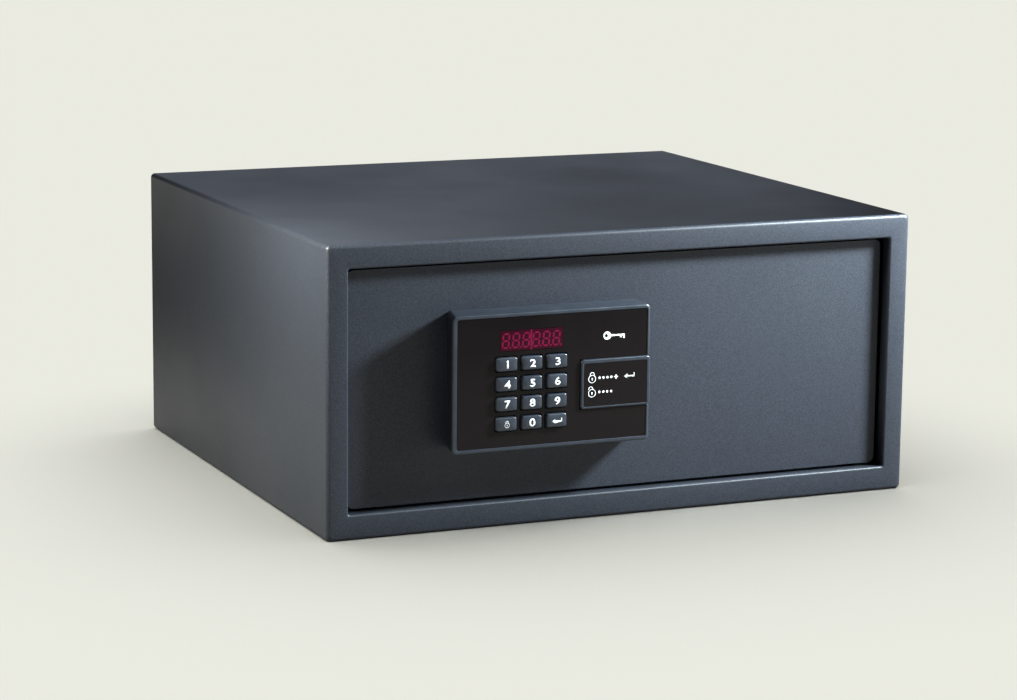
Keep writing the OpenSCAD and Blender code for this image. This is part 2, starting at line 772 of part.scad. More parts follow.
module keypad_housing() color("#2b2f38") difference() {
    union() {
        difference() {
            housing_body();
            plate(unit_front - 1, fascia_back)
                rect(fascia_l - fascia_fit, fascia_rt + fascia_fit, fascia_b - fascia_fit,
                    fascia_top + fascia_fit);
            housing_cavity();
        }
        for (x = housing_screw_x, z = housing_screw_z)
            rod_y(x, z, door_face - housing_wall - boss_l, door_face - housing_wall + 0.5,
                boss_r);
        for (x = board_screw_x, z = board_screw_z)
            rod_y(x, z, board_front + board_t, door_face - housing_wall + 0.5, board_post_r);
    }
    for (x = board_screw_x, z = board_screw_z)
        rod_y(x, z, board_front, board_front + board_t + 6, board_screw_r + screw_fit);
    for (x = housing_screw_x, z = housing_screw_z)
        rod_y(x, z, door_face - housing_wall - boss_l + 1, door_face + 1,
            screw_r + screw_fit);
    block(service_l - cover_fit, housing_rt + 1, unit_front - 1,
        unit_front - cover_proud + cover_d + 0.1, service_b - cover_fit,
        service_top + cover_fit);
    rod_y(cable_x, cable_z, door_face - housing_wall - 1, door_face + 1, grommet_r + 0.5);
    rod_y(override_x, override_z, door_face - housing_wall - 1, door_face + 1,
        barrel_r + barrel_fit);
}

module housing_screws() color(steel)
    for (x = housing_screw_x, z = housing_screw_z)
        screw(x, z, door_back, 2, door_t + 7, screw_r, screw_head_r);

module fascia_panel() color(black) difference() {
    plate(fascia_front, fascia_back) rect(fascia_l, fascia_rt, fascia_b, fascia_top);
    for (k = keys) key_place(k)
        plate(fascia_front - 1, fascia_back + 1)
            round_rect(-key_w / 2 - key_well, key_w / 2 + key_well,
                -key_h / 2 - key_well, key_h / 2 + key_well, key_r + key_well);
    plate(fascia_front - 1, fascia_back + 1)
        rect(display_x - display_w / 2, display_x + display_w / 2,
            display_z - display_h / 2, display_z + display_h / 2);
    block(service_l - cover_fit, housing_rt, fascia_front - 1, fascia_back + 1,
        service_b - cover_fit, service_top + cover_fit);
}

module display_window() color("#5a0f22", 0.6)
    plate(fascia_front, fascia_back)
        rect(display_x - display_w / 2 + display_fit, display_x + display_w / 2 - display_fit,
            display_z - display_h / 2 + display_fit, display_z + display_h / 2 - display_fit);

module display_module() color("#3a0c18")
    plate(fascia_back, board_front)
        rect(display_x - display_w / 2 + 0.8, display_x + display_w / 2 - 0.8,
            display_z - display_h / 2 + 0.8, display_z + display_h / 2 - 0.8);

board_l = key_first_x - key_w / 2 - board_margin;
board_r = key_first_x + 2 * key_pitch_x + key_w / 2 + 3;
board_b = key_first_z - 3 * key_pitch_z - key_h / 2 - 3;
board_top = display_z + display_h / 2 + 1;
board_screw_x = [board_l + 2.5, board_r - 2.5];
board_screw_z = [board_b + 2.5, board_top - 2.5];

module circuit_board() color("#1f5a35") {
    difference() {
        plate(board_front, board_front + board_t) rect(board_l, board_r, board_b, board_top);
        for (x = board_screw_x, z = board_screw_z)
            rod_y(x, z, board_front - 1, board_front + board_t + 1, board_screw_r + screw_fit);
    }
    block(cable_x - 5, cable_x + 5, board_front + board_t,
        board_front + board_t + lead_plug_d, cable_z - 3, cable_z + 3);
    block(cable_x - 18, cable_x - 8, board_front + board_t, board_front + board_t + 1.2,
        cable_z + 14, cable_z + 24);
}

// The heads lie on the board's front, towards the keys
module board_screws() color(steel)
    for (x = board_screw_x, z = board_screw_z) {
        rod_y(x, z, board_front - 1, board_front, board_screw_r + 0.8);
        rod_y(x, z, board_front, board_front + board_t + 5, board_screw_r);
    }

module key_switches() color(steel)
    for (k = keys) key_place(k) {
        block(-switch_w / 2, switch_w / 2, board_front - switch_body, board_front,
            -switch_w / 2, switch_w / 2);
        rod_y(0, 0, switch_tip, board_front - switch_body, 1.7);
    }

module buzzer() color(rubber) difference() {
    rod_y(board_l + 14, board_top - 14, board_front + board_t, board_front + board_t + 5, 6);
    rod_y(board_l + 14, board_top - 14, board_front + board_t + 3, board_front + board_t + 6,
        1);
}

// --- keys
module key_place(k)
    translate([key_first_x + k[1] * key_pitch_x, 0, key_first_z - k[2] * key_pitch_z])
        children();

module key(name)
    for (k = keys) if (k[0] == name) key_place(k) color("#454c58") {
        plate(unit_front - key_stand, fascia_back + lip_fit)
            round_rect(-key_w / 2, key_w / 2, -key_h / 2, key_h / 2, key_r);
        plate(fascia_back + lip_fit, key_back)
            rect(-key_w / 2 - key_lip, key_w / 2 + key_lip,
                -key_h / 2 - key_lip, key_h / 2 + key_lip);
    }

// --- service cover and override lock
cover_front = unit_front - cover_proud;

module service_cover() color("#2b2f38") difference() {
    plate(cover_front, cover_front + cover_d)
        round_rect(service_l, housing_rt, service_b, service_top, 2);
    plate(cover_front - 1, cover_front + label_t)
        rect(service_l + 2.2, housing_rt - 2.4, service_b + 1.6, service_top - 2.6);
    block(service_l + 3, housing_rt - 3, cover_front + cover_d - 1.4,
        cover_front + cover_d + 1, service_b + 3, service_top - 3);
}

module cover_label() color(black)
    plate(cover_front + 0.1, cover_front + label_t)
        rect(service_l + 2.3, housing_rt - 2.5, service_b + 1.7, service_top - 2.7);

// A tray behind the fascia's cut-out, closed on the right by the housing's wall
module service_well() color("#33363d") {
    x0 = service_l - cover_fit;
    x1 = housing_rt - wall_right;
    z0 = service_b - cover_fit;
    z1 = service_top + cover_fit;
    difference() {
        plate(fascia_back, well_depth + well_t) rect(x0 - well_t, x1, z0 - well_t, z1 + well_t);
        plate(fascia_back - 1, well_depth) rect(x0, x1 + 1, z0, z1);
        rod_y(override_x, override_z, well_depth - 1, well_depth + well_t + 1,
            barrel_r + barrel_fit);
        rod_y(socket_x, override_z, well_depth - 1, well_depth + well_t + 1,
            socket_r + socket_fit);
    }
}

module service_socket() color(black) difference() {
    union() {
        rod_y(socket_x, override_z, well_depth - flange_t, well_depth, socket_r + 1.2);
        rod_y(socket_x, override_z, well_depth, well_depth + 9, socket_r);
    }
    rod_y(socket_x, override_z, well_depth - flange_t - 1, well_depth + 7, 1.6);
}

module lock_cylinder() color("#d5d8db") difference() {
    union() {
        rod_y(override_x, override_z, well_depth - flange_t, well_depth, barrel_r + 2);
        rod_y(override_x, override_z, well_depth, door_back + nut_t, barrel_r);
    }
    rod_y(override_x, override_z, well_depth - flange_t - 1, door_back + nut_t + 1,
        plug_r + plug_fit);
}

module cylinder_nut() color(brass) difference() {
    translate([override_x, at(door_back), override_z]) rotate([-90, 0, 0])
        cylinder(h = nut_t, r = 11, $fn = 6);
    rod_y(override_x, override_z, door_back - 1, door_back + nut_t + 1, barrel_r + 0.05);
}

module lock_plug() color("#d9dadc") difference() {
    union() {
        rod_y(override_x, override_z, well_depth - flange_t, cam_depth, plug_r);
        rod_y(override_x, override_z, cam_depth, cam_depth + cam_t + 1.5, plug_tail_r);
    }
    block(override_x - 0.7, override_x + 0.7, well_depth - flange_t - 1, well_depth + 12,
        override_z - 3.6, override_z + 2.4);
    block(override_x - 1.3, override_x, well_depth - flange_t - 1, well_depth + 12,
        override_z - 1.5, override_z);
}

module override_cam() color(steel) difference() {
    union() {
        rod_y(override_x, override_z, cam_depth, cam_depth + cam_t, cam_hub_r);
        block(override_x - cam_l + cam_w / 2, override_x, cam_depth, cam_depth + cam_t,
            override_z - cam_w / 2, override_z + cam_w / 2);
        rod_y(override_x - cam_l + cam_w / 2, override_z, cam_depth, cam_depth + cam_t,
            cam_w / 2);
    }
    rod_y(override_x, override_z, cam_depth - 1, cam_depth + cam_t + 1,
        plug_tail_r + 0.03);
}

// --- assembly
cabinet_shell();
rear_panel();
front_frame();
door_stops();
door_bumpers();
strike_plate();
hinge_brackets();
hinge_pins();
hinge_washers();
floor_mat();
door_plate();
hinge_knuckles();
lock_case();
case_cover();
case_posts();
cover_screws();
bolt_guides();
gear_motor();
motor_bracket();
motor_screws();
battery_box();
batteries();
battery_contacts();
motor_lead();
battery_lead();
cable_grommet();
keypad_housing();
housing_screws();
fascia_panel();
display_window();
display_module();
circuit_board();
board_screws();
key_switches();
buzzer();
service_well();
service_socket();
lock_cylinder();
cylinder_nut();
lock_bolts();
bolt_carriage();
rack_bar();
drive_pinion();
lock_plug();
override_cam();
service_cover();
cover_label();
battery_cover();
for (k = keys) key(k[0]);
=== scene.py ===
# %% [markdown]
# # A room safe, made in cells
# This lesson dresses a hotel room safe. The measured model of the safe is already packed: every
# plate, bolt and key is in it, at its real place and size, in metres, with its joints.
# The lesson starts by loading that model, because everything else takes its place from it.

# %% Load the measured model
import json
import math

import bmesh
import bpy
from mathutils import Matrix, Vector


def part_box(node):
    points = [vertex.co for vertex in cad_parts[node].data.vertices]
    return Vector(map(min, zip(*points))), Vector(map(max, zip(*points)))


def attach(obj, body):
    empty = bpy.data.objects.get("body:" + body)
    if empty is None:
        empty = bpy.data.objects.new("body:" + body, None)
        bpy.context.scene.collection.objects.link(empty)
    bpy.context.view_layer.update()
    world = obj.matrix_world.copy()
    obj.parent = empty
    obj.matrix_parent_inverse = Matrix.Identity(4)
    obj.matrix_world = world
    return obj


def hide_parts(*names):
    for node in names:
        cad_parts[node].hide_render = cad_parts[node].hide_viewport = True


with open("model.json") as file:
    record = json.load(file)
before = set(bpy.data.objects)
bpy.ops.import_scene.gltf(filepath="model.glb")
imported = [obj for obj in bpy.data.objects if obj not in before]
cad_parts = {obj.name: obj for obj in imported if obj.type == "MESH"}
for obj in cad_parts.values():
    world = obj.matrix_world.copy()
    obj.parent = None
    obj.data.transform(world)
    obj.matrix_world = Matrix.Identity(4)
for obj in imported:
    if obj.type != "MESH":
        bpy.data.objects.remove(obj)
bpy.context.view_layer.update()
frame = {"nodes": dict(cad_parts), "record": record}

mm = 0.001
scene = bpy.context.scene

# %% [markdown]
# # The camera
# The safe is seen from its front left corner, a little from above, by a long lens.
# A long lens from over two metres away keeps the box's edges almost parallel, as a catalogue does.
# The camera could be turned by hand. Here it is worked out from a target point, two angles and a
# distance, because those are easy to read and to change.

# %% The camera
def added(name, data):
    """A new object in the scene."""
    item = bpy.data.objects.new(name, data)
    scene.collection.objects.link(item)
    return item


def look(target, azimuth, elevation, roll, distance, across, up_by, lens):
    """A camera on a sphere round the target. Across and up_by slide it in its own plane."""
    a, e, turn = (math.radians(x) for x in (azimuth, elevation, roll))
    back = Vector((math.sin(a) * math.cos(e), -math.cos(a) * math.cos(e), math.sin(e)))
    right = Vector((0, 0, 1)).cross(back).normalized()
    up = back.cross(right)
    right, up = (right * math.cos(turn) + up * math.sin(turn),
                 up * math.cos(turn) - right * math.sin(turn))
    data = bpy.data.cameras.new("view")
    data.lens = lens
    data.sensor_width = 36
    camera = added("view", data)
    place = Matrix((right, up, back)).transposed().to_4x4()
    place.translation = target + back * distance + right * across + up * up_by
    camera.matrix_world = place
    return camera


front_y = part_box("front_frame")[0].y
target = Vector((0, front_y + 200 * mm, 100 * mm))
scene.camera = look(target, azimuth=-23.701, elevation=10.704, roll=0.592, distance=2.2431,
                    across=-0.0001, up_by=-0.0217, lens=108.8)
print("camera at", [round(x, 3) for x in scene.camera.matrix_world.translation])

# %% [markdown]
# # How a finish is made
# A real finish is never one flat colour. Powder coat has a fine orange-peel grain, moulded plastic
# has the texture of its tool, and steel keeps the lines of its brushing.
# Each finish here is one Principled shader. What is the same all over goes straight on its
# sockets. What varies comes from noise that is measured in metres, so that a grain has its real
# size on every piece, large or small.

# %% Helpers that every finish uses
def new_finish(name, colour, rough, metal=0.0, **sockets):
    """A material with one Principled shader. Sockets are named with _ for a space."""
    material = bpy.data.materials.new(name)
    material.use_nodes = True
    shader = material.node_tree.nodes["Principled BSDF"]
    shader.inputs["Base Color"].default_value = (*colour, 1)
    shader.inputs["Roughness"].default_value = rough
    shader.inputs["Metallic"].default_value = metal
    for socket, value in sockets.items():
        shader.inputs[socket.replace("_", " ")].default_value = value
    return material


def shader_of(material):
    return material.node_tree.nodes["Principled BSDF"]


def noise(material, per_metre, detail=2.0, stretch=(1, 1, 1)):
    """Noise in the object's own metres. Stretch above 1 packs it closer along that axis.

    Even noise is turned, so that no flat face lies along the noise's own grid, where it fades.
    """
    nodes, links = material.node_tree.nodes, material.node_tree.links
    where = nodes.new("ShaderNodeTexCoord")
    scale = nodes.new("ShaderNodeMapping")
    scale.inputs["Scale"].default_value = stretch
    if stretch == (1, 1, 1):
        scale.inputs["Rotation"].default_value = (0.5, 0.8, 0.3)
    texture = nodes.new("ShaderNodeTexNoise")
    texture.inputs["Scale"].default_value = per_metre
    texture.inputs["Detail"].default_value = detail
    links.new(where.outputs["Object"], scale.inputs["Vector"])
    links.new(scale.outputs["Vector"], texture.inputs["Vector"])
    return texture.outputs["Fac"]


def between(material, factor, low, high, start=0.3, end=0.7):
    """Turns a factor into a number or a colour between low and high."""
    nodes, links = material.node_tree.nodes, material.node_tree.links
    if isinstance(low, tuple):
        ramp = nodes.new("ShaderNodeValToRGB")
        ramp.color_ramp.elements[0].position = start
        ramp.color_ramp.elements[0].color = (*low, 1)
        ramp.color_ramp.elements[1].position = end
        ramp.color_ramp.elements[1].color = (*high, 1)
        links.new(factor, ramp.inputs["Fac"])
        return ramp.outputs["Color"]
    node = nodes.new("ShaderNodeMapRange")
    node.inputs["From Min"].default_value = start
    node.inputs["From Max"].default_value = end
    node.inputs["To Min"].default_value = low
    node.inputs["To Max"].default_value = high
    links.new(factor, node.inputs["Value"])
    return node.outputs["Result"]


def feed(material, socket, output):
    material.node_tree.links.new(output, shader_of(material).inputs[socket])


def grain(material, height, depth, strength=1.0):
    """Raises and lowers the surface by a height signal; depth is its size in metres."""
    nodes, links = material.node_tree.nodes, material.node_tree.links
    bump = nodes.new("ShaderNodeBump")
    bump.inputs["Strength"].default_value = strength
    bump.inputs["Distance"].default_value = depth
    links.new(height, bump.inputs["Height"])
    links.new(bump.outputs["Normal"], shader_of(material).inputs["Normal"])


print("finish helpers ready")

# %% [markdown]
# # The powder coat
# The body, the frame and the door are steel sheet under one dark blue-grey powder coat. Baked
# powder flows into a fine grain about a millimetre wide, with tiny lighter flecks in it.
# It could be painted with a picture, but noise has no seams and no limit on size.
# Three noises do it: a fine one for the grain, a finer one for the flecks, and a slow one for the
# faint clouds that a large sprayed face has.

# %% Powder coat
def powder_coat():
    coat = new_finish("powder_coat", (0.020, 0.023, 0.032), 0.45, Specular_IOR_Level=0.36)
    fine = noise(coat, 1350, 3)
    flecks = noise(coat, 1700, 2)
    clouds = noise(coat, 9, 3)
    dark, light = (0.010, 0.011, 0.016), (0.034, 0.040, 0.055)
    feed(coat, "Base Color", between(coat, flecks, dark, light, 0.34, 0.68))
    feed(coat, "Roughness", between(coat, clouds, 0.41, 0.48))
    grain(coat, fine, 0.00014, 0.42)
    return coat


finishes = {"powder_coat": powder_coat()}
print("made:", list(finishes))

# %% [markdown]
# # The metals
# The lock case inside the door is zinc plated sheet, the bolts and the key lock are chrome plated,
# the guides and the pinion are brass, and the small steel parts are bare and brushed.
# Brushing is noise that is stretched along one axis. Zinc plate has slow grey patches instead.
# A metal takes nearly all of its look from its roughness, so that is what varies most.

# %% Metals
def brushed(name, colour, rough, stretch):
    metal = new_finish(name, colour, rough, 1.0)
    lines = noise(metal, 260, 3, stretch)
    dark = tuple(0.82 * c for c in colour)
    feed(metal, "Base Color", between(metal, noise(metal, 40, 3), dark, colour))
    feed(metal, "Roughness", between(metal, lines, rough - 0.08, rough + 0.1))
    grain(metal, lines, 0.00003, 0.4)
    return metal


def zinc_plate():
    zinc = new_finish("zinc_sheet", (0.46, 0.47, 0.46), 0.44, 1.0)
    patches = noise(zinc, 30, 3)
    feed(zinc, "Base Color", between(zinc, patches, (0.44, 0.45, 0.45), (0.50, 0.50, 0.48)))
    feed(zinc, "Roughness", between(zinc, patches, 0.42, 0.46))
    grain(zinc, noise(zinc, 1900, 2), 0.00002, 0.15)
    return zinc


finishes["bright_steel"] = brushed("bright_steel", (0.56, 0.57, 0.58), 0.32, (1, 1, 9))
finishes["brass"] = brushed("brass", (0.72, 0.52, 0.22), 0.28, (9, 1, 1))
finishes["lock_chrome"] = brushed("lock_chrome", (0.74, 0.74, 0.76), 0.16, (9, 1, 1))
finishes["zinc_sheet"] = zinc_plate()
print("metals:", [name for name, m in finishes.items() if shader_of(m).inputs["Metallic"].default_value])

# %% [markdown]
# # Plastics, rubber and felt
# The keypad housing, its keys and the service cover are a satin blue-grey moulding. Their tool was
# spark eroded, which leaves a very fine even texture. The fascia is a glossy black film, so it
# shows soft smudges only where light grazes it. Rubber is dull, and the floor mat is felt, whose
# fibres scatter light at its edge: that is what sheen is for.

# %% Plastics, rubber and felt
def moulding(name, colour, rough, depth=0.00003, per_metre=2600):
    plastic = new_finish(name, colour, rough)
    texture = noise(plastic, per_metre, 2)
    lighter = tuple(min(1.0, 1.18 * c) for c in colour)
    darker = tuple(0.86 * c for c in colour)
    feed(plastic, "Base Color", between(plastic, noise(plastic, 130, 3), darker, lighter))
    feed(plastic, "Roughness", between(plastic, noise(plastic, 60, 3), rough - 0.05, rough + 0.06))
    grain(plastic, texture, depth, 0.5)
    return plastic


def gloss_film(name, colour):
    film = new_finish(name, colour, 0.2, Specular_IOR_Level=0.2)
    feed(film, "Roughness", between(film, noise(film, 35, 4), 0.18, 0.27))
    grain(film, noise(film, 60, 2), 0.00001, 0.25)
    return film


def felt():
    mat = new_finish("mat_felt", (0.05, 0.055, 0.050), 0.95, Sheen_Weight=0.4, Sheen_Roughness=0.5)
    fibres = noise(mat, 900, 5, (1, 2.4, 1))
    feed(mat, "Base Color", between(mat, fibres, (0.022, 0.025, 0.031), (0.085, 0.09, 0.1)))
    grain(mat, fibres, 0.0006, 0.8)
    return mat


finishes["satin_plastic"] = moulding("satin_plastic", (0.020, 0.025, 0.036), 0.34)
finishes["black_plastic"] = moulding("black_plastic", (0.022, 0.022, 0.024), 0.42)
finishes["nylon_white"] = moulding("nylon_white", (0.70, 0.68, 0.60), 0.45)
finishes["black_rubber"] = moulding("black_rubber", (0.02, 0.02, 0.02), 0.75, 0.00008, 900)
finishes["red_lead"] = moulding("red_lead", (0.42, 0.03, 0.02), 0.4)
finishes["black_lead"] = moulding("black_lead", (0.02, 0.02, 0.02), 0.42)
finishes["gloss_black"] = gloss_film("gloss_black", (0.0050, 0.0034, 0.0038))
finishes["display_red"] = gloss_film("display_red", (0.024, 0.0006, 0.006))
finishes["mat_felt"] = felt()
print("finishes so far:", len(finishes))

# %% [markdown]
# # The circuit board and the cells
# A circuit board is green lacquer over copper tracks. The tracks run square to each other, which a
# brick pattern gives with thin mortar lines. A cell is a steel can in a shrunk film: a dark sleeve
# with a copper-coloured shoulder, so its colour changes along its length.

# %% Circuit board and cells
def board_lacquer():
    board = new_finish("board_green", (0.02, 0.12, 0.05), 0.3, Coat_Weight=0.4)
    nodes, links = board.node_tree.nodes, board.node_tree.links
    where = nodes.new("ShaderNodeTexCoord")
    turn = nodes.new("ShaderNodeMapping")
    turn.inputs["Rotation"].default_value = (math.radians(90), 0, 0)
    tracks = nodes.new("ShaderNodeTexBrick")
    tracks.inputs["Scale"].default_value = 180
    tracks.inputs["Mortar Size"].default_value = 0.03
    tracks.inputs["Color1"].default_value = (0.012, 0.10, 0.04, 1)
    tracks.inputs["Color2"].default_value = (0.016, 0.12, 0.05, 1)
    tracks.inputs["Mortar"].default_value = (0.05, 0.24, 0.09, 1)
    links.new(where.outputs["Object"], turn.inputs["Vector"])
    links.new(turn.outputs["Vector"], tracks.inputs["Vector"])
    feed(board, "Base Color", tracks.outputs["Color"])
    grain(board, tracks.outputs["Fac"], 0.00003, 0.6)
    return board


def cell_film():
    film = new_finish("cell_wrap", (0.3, 0.2, 0.08), 0.3, Coat_Weight=0.5)
    nodes, links = film.node_tree.nodes, film.node_tree.links
    where = nodes.new("ShaderNodeTexCoord")
    parts = nodes.new("ShaderNodeSeparateXYZ")
    links.new(where.outputs["Object"], parts.inputs["Vector"])
    low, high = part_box("batteries")
    shoulder = low.x + 0.68 * (high.x - low.x)
    place = between(film, parts.outputs["X"], 0.0, 1.0, shoulder - 0.2 * mm, shoulder + 0.2 * mm)
    feed(film, "Base Color", between(film, place, (0.014, 0.013, 0.014), (0.42, 0.2, 0.06)))
    feed(film, "Roughness", between(film, noise(film, 90, 2), 0.25, 0.38))
    return film


finishes["board_green"] = board_lacquer()
finishes["cell_wrap"] = cell_film()
print("all finishes:", sorted(finishes))

# %% [markdown]
# # Dressing the measured pieces
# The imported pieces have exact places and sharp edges. No real edge is sharp: a folded sheet has a
# small radius, and a turned part is deburred. A bevel modifier rounds the edges without moving a
# piece, so the shape stays the measured one.
# The order matters. Weld joins the loose triangles, a planar decimate turns them back into whole
# faces, the bevel rounds what is sharper than a third of a right angle, and weighted normals keep
# the flat faces flat.

# %% Rounded edges and smooth shading
def smooth_group():
    """A tiny node group that shades every face smooth."""
    group = bpy.data.node_groups.new("shade_smooth", "GeometryNodeTree")
    group.interface.new_socket("Geometry", in_out="INPUT", socket_type="NodeSocketGeometry")
    group.interface.new_socket("Geometry", in_out="OUTPUT", socket_type="NodeSocketGeometry")
    first = group.nodes.new("NodeGroupInput")
    last = group.nodes.new("NodeGroupOutput")
    smooth = group.nodes.new("GeometryNodeSetShadeSmooth")
    group.links.new(first.outputs[0], smooth.inputs[0])
    group.links.new(smooth.outputs[0], last.inputs[0])
    return group


smooth_faces = smooth_group()
slot_of = {row["node"]: row["material_slot"] for row in frame["record"]["subparts"]}
weld_reach = 0.002 * mm


def round_edges(piece, width):
    """Rounds every edge sharper than 30 degrees and keeps flat faces flat."""
    bevel = piece.modifiers.new("edges", "BEVEL")
    bevel.width = width
    bevel.segments = 2
    bevel.limit_method = "ANGLE"
    bevel.angle_limit = math.radians(30)
    shade = piece.modifiers.new("smooth", "NODES")
    shade.node_group = smooth_faces
    normals = piece.modifiers.new("normals", "WEIGHTED_NORMAL")
    normals.weight = 100
    normals.keep_sharp = True


def in_its_finish(node):
    """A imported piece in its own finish, with its loose triangles joined."""
    piece = frame["nodes"][node]
    piece.data.materials.clear()
    piece.data.materials.append(finishes[slot_of[node]])
    piece.modifiers.new("weld", "WELD").merge_threshold = weld_reach
    return piece


def dress(node, width):
    """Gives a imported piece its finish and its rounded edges."""
    piece = in_its_finish(node)
    flat = piece.modifiers.new("flat", "DECIMATE")
    flat.decimate_type = "DISSOLVE"
    flat.angle_limit = math.radians(0.5)
    round_edges(piece, width)


print("finishes used:", sorted(set(slot_of.values())))

# %% [markdown]
# # Which edge gets which radius
# Sheet metal gets a radius of a little over half a millimetre, moulded and thick pieces half of
# that, and small turned parts a quarter. The lists below say which piece gets which radius.
# The two leads are tubes of eight sides, so they get a subdivision instead of a bevel: it turns
# the eight sides into a round sleeve.

# %% Round the edges of the measured pieces
edge_radius = {
    0.6 * mm: ["cabinet_shell", "rear_panel", "door_plate", "lock_case", "case_cover", "battery_cover",
               "door_stops", "strike_plate", "bolt_carriage"],
    0.3 * mm: ["fascia_panel", "service_well", "hinge_brackets", "hinge_knuckles", "motor_bracket",
               "gear_motor", "override_cam", "battery_box", "lock_bolts", "bolt_guides",
               "cable_grommet", "door_bumpers", "floor_mat", "cylinder_nut"],
    0.15 * mm: ["hinge_pins", "hinge_washers", "case_posts", "cover_screws", "motor_screws",
                "housing_screws", "board_screws", "display_window", "display_module",
                "circuit_board", "key_switches", "buzzer", "service_socket", "lock_cylinder",
                "lock_plug", "rack_bar", "drive_pinion", "batteries", "battery_contacts",
                "cover_label"],
}
for width, nodes in edge_radius.items():
    for node in nodes:
        dress(node, width)

leads = ["motor_lead", "battery_lead"]
for node in leads:
    sleeve = in_its_finish(node).modifiers.new("round", "SUBSURF")
    sleeve.render_levels = 2
    sleeve.levels = 2
print("dressed:", sum(len(names) for names in edge_radius.values()) + len(leads))

# %% [markdown]
# # Skinning a row of outlines
# The frame, the housing, the cover and the keys are all rectangles with round corners whose size
# changes with depth. They could be cubes with bevels, but a bevel can't give a bead on one side
# and a sharp step on the other. So each is a row of outlines with the same number of points, and
# a skin is drawn from each outline to the next.

# %% The outline and skin helpers
def outline(x0, x1, z0, z1, radius, y, steps=6, lean=0.0):
    """Points round a rectangle with round corners at one depth. Lean moves the left side."""
    corners = ((x1, z1, 0), (x0, z1, 90), (x0, z0, 180), (x1, z0, 270))
    points = []
    for x, z, start in corners:
        inward_x = -1 if x == x1 else 1
        inward_z = -1 if z == z1 else 1
        shift = lean if x == x0 else 0.0
        for n in range(steps + 1):
            a = math.radians(start + 90 * n / steps)
            points.append((x + shift + inward_x * radius + radius * math.cos(a), y,
                           z + inward_z * radius + radius * math.sin(a)))
    return points


def grown(box, by):
    """A rectangle (x0, x1, z0, z1) that is larger by the same amount on every side."""
    x0, x1, z0, z1 = box
    return x0 - by, x1 + by, z0 - by, z1 + by


def new_piece(name, mesh, body, finish):
    """An object that wears a finish and rides on a body."""
    piece = added(name, mesh)
    mesh.materials.append(finishes[finish])
    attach(piece, body)
    return piece


def skin_mesh(name, outlines, joined=False):
    """A closed mesh over a row of outlines. Joined runs the last one back to the first."""
    bm = bmesh.new()
    loops = [[bm.verts.new(point) for point in points] for points in outlines]
    pairs = list(zip(loops, loops[1:]))
    if joined:
        pairs.append((loops[-1], loops[0]))
    else:
        bm.faces.new(loops[0])
        bm.faces.new(loops[-1])
    for a, b in pairs:
        for n in range(len(a)):
            m = (n + 1) % len(a)
            bm.faces.new((a[n], a[m], b[m], b[n]))
    bmesh.ops.recalc_face_normals(bm, faces=bm.faces)
    for face in bm.faces:
        face.smooth = True
    mesh = bpy.data.meshes.new(name)
    bm.to_mesh(mesh)
    bm.free()
    return mesh


def skin(name, outlines, body, slot, joined=False):
    """A piece made of such a mesh, with the finish that its slot names."""
    piece = new_piece(name, skin_mesh(name, outlines, joined), body, slot)
    return piece


def rounding(radius, steps=5):
    """(inset, depth) pairs of a quarter round, from the side to the face."""
    angles = [math.radians(90 * n / steps) for n in range(steps + 1)]
    return [(radius * (1 - math.cos(a)), radius * (1 - math.sin(a))) for a in angles]


print("a quarter round of 1 mm:", [(round(i, 2), round(d, 2)) for i, d in rounding(1, 3)])

# %% [markdown]
# # The front frame
# The frame is one pressed and welded piece: a flat border, a generous roll at its outer edge where
# it meets the body, a small bead where the border turns into the opening, and a return that runs
# back past the door. The bead is what catches the thin line of light round the opening.
# The outlines go round that section once: outer edge, border, bead, return and back again.

# %% Build the front frame
def rect_of(node):
    low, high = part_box(node)
    return low.x, high.x, low.z, high.z


frame_low, frame_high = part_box("front_frame")
door = rect_of("door_plate")
shell_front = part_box("cabinet_shell")[0].y
door_gap = 2 * mm
hinge_gap = 3 * mm
opening = (door[0] - door_gap, door[1] + hinge_gap, door[2] - door_gap, door[3] + door_gap)
outer = rect_of("front_frame")
roll = 2.6 * mm
bead = 1.6 * mm
return_t = 2 * mm
bend = 3 * mm

section = [outline(*outer, bend, shell_front)]
for inset, depth in rounding(roll):
    section.append(outline(*grown(outer, -inset), bend, frame_low.y + depth))
for inset, depth in reversed(rounding(bead)):
    section.append(outline(*grown(opening, inset), bead, frame_low.y + depth))
section.append(outline(*opening, bead, frame_high.y))
section.append(outline(*grown(opening, return_t), bead, frame_high.y))
section.append(outline(*grown(opening, return_t), bead, shell_front))
border = skin("rolled_front_frame", section, "cabinet", "powder_coat", joined=True)
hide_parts("front_frame")
print("frame points:", len(border.data.vertices))

# %% [markdown]
# # The keypad housing
# The housing is one moulding that screws to the door. Its left side leans in towards the door, so
# that fingertips can hook behind it and pull the door open. At the front it has a rounded rim
# round a shallow pocket, where the glossy fascia lies.
# The skin goes from the back, over the side and the rim, and down into the pocket.

# %% Build the housing
housing = rect_of("keypad_housing")
unit_front, unit_back = (corner.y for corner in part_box("keypad_housing"))
fascia = rect_of("fascia_panel")
pocket_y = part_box("fascia_panel")[1].y
grip_lean = 5.5 * mm
rim_roll = 1.3 * mm
rim_edge = 0.35 * mm
housing_r = 3 * mm
housing_wall = 2 * mm
pocket_r = 1.4 * mm
pocket_fit = 0.1 * mm
ledge = 1 * mm


def leaning(box, y):
    """A housing outline whose left side leans in towards the door."""
    lean = grip_lean * (y - unit_front) / (unit_back - unit_front)
    return outline(*box, housing_r, y, lean=lean)


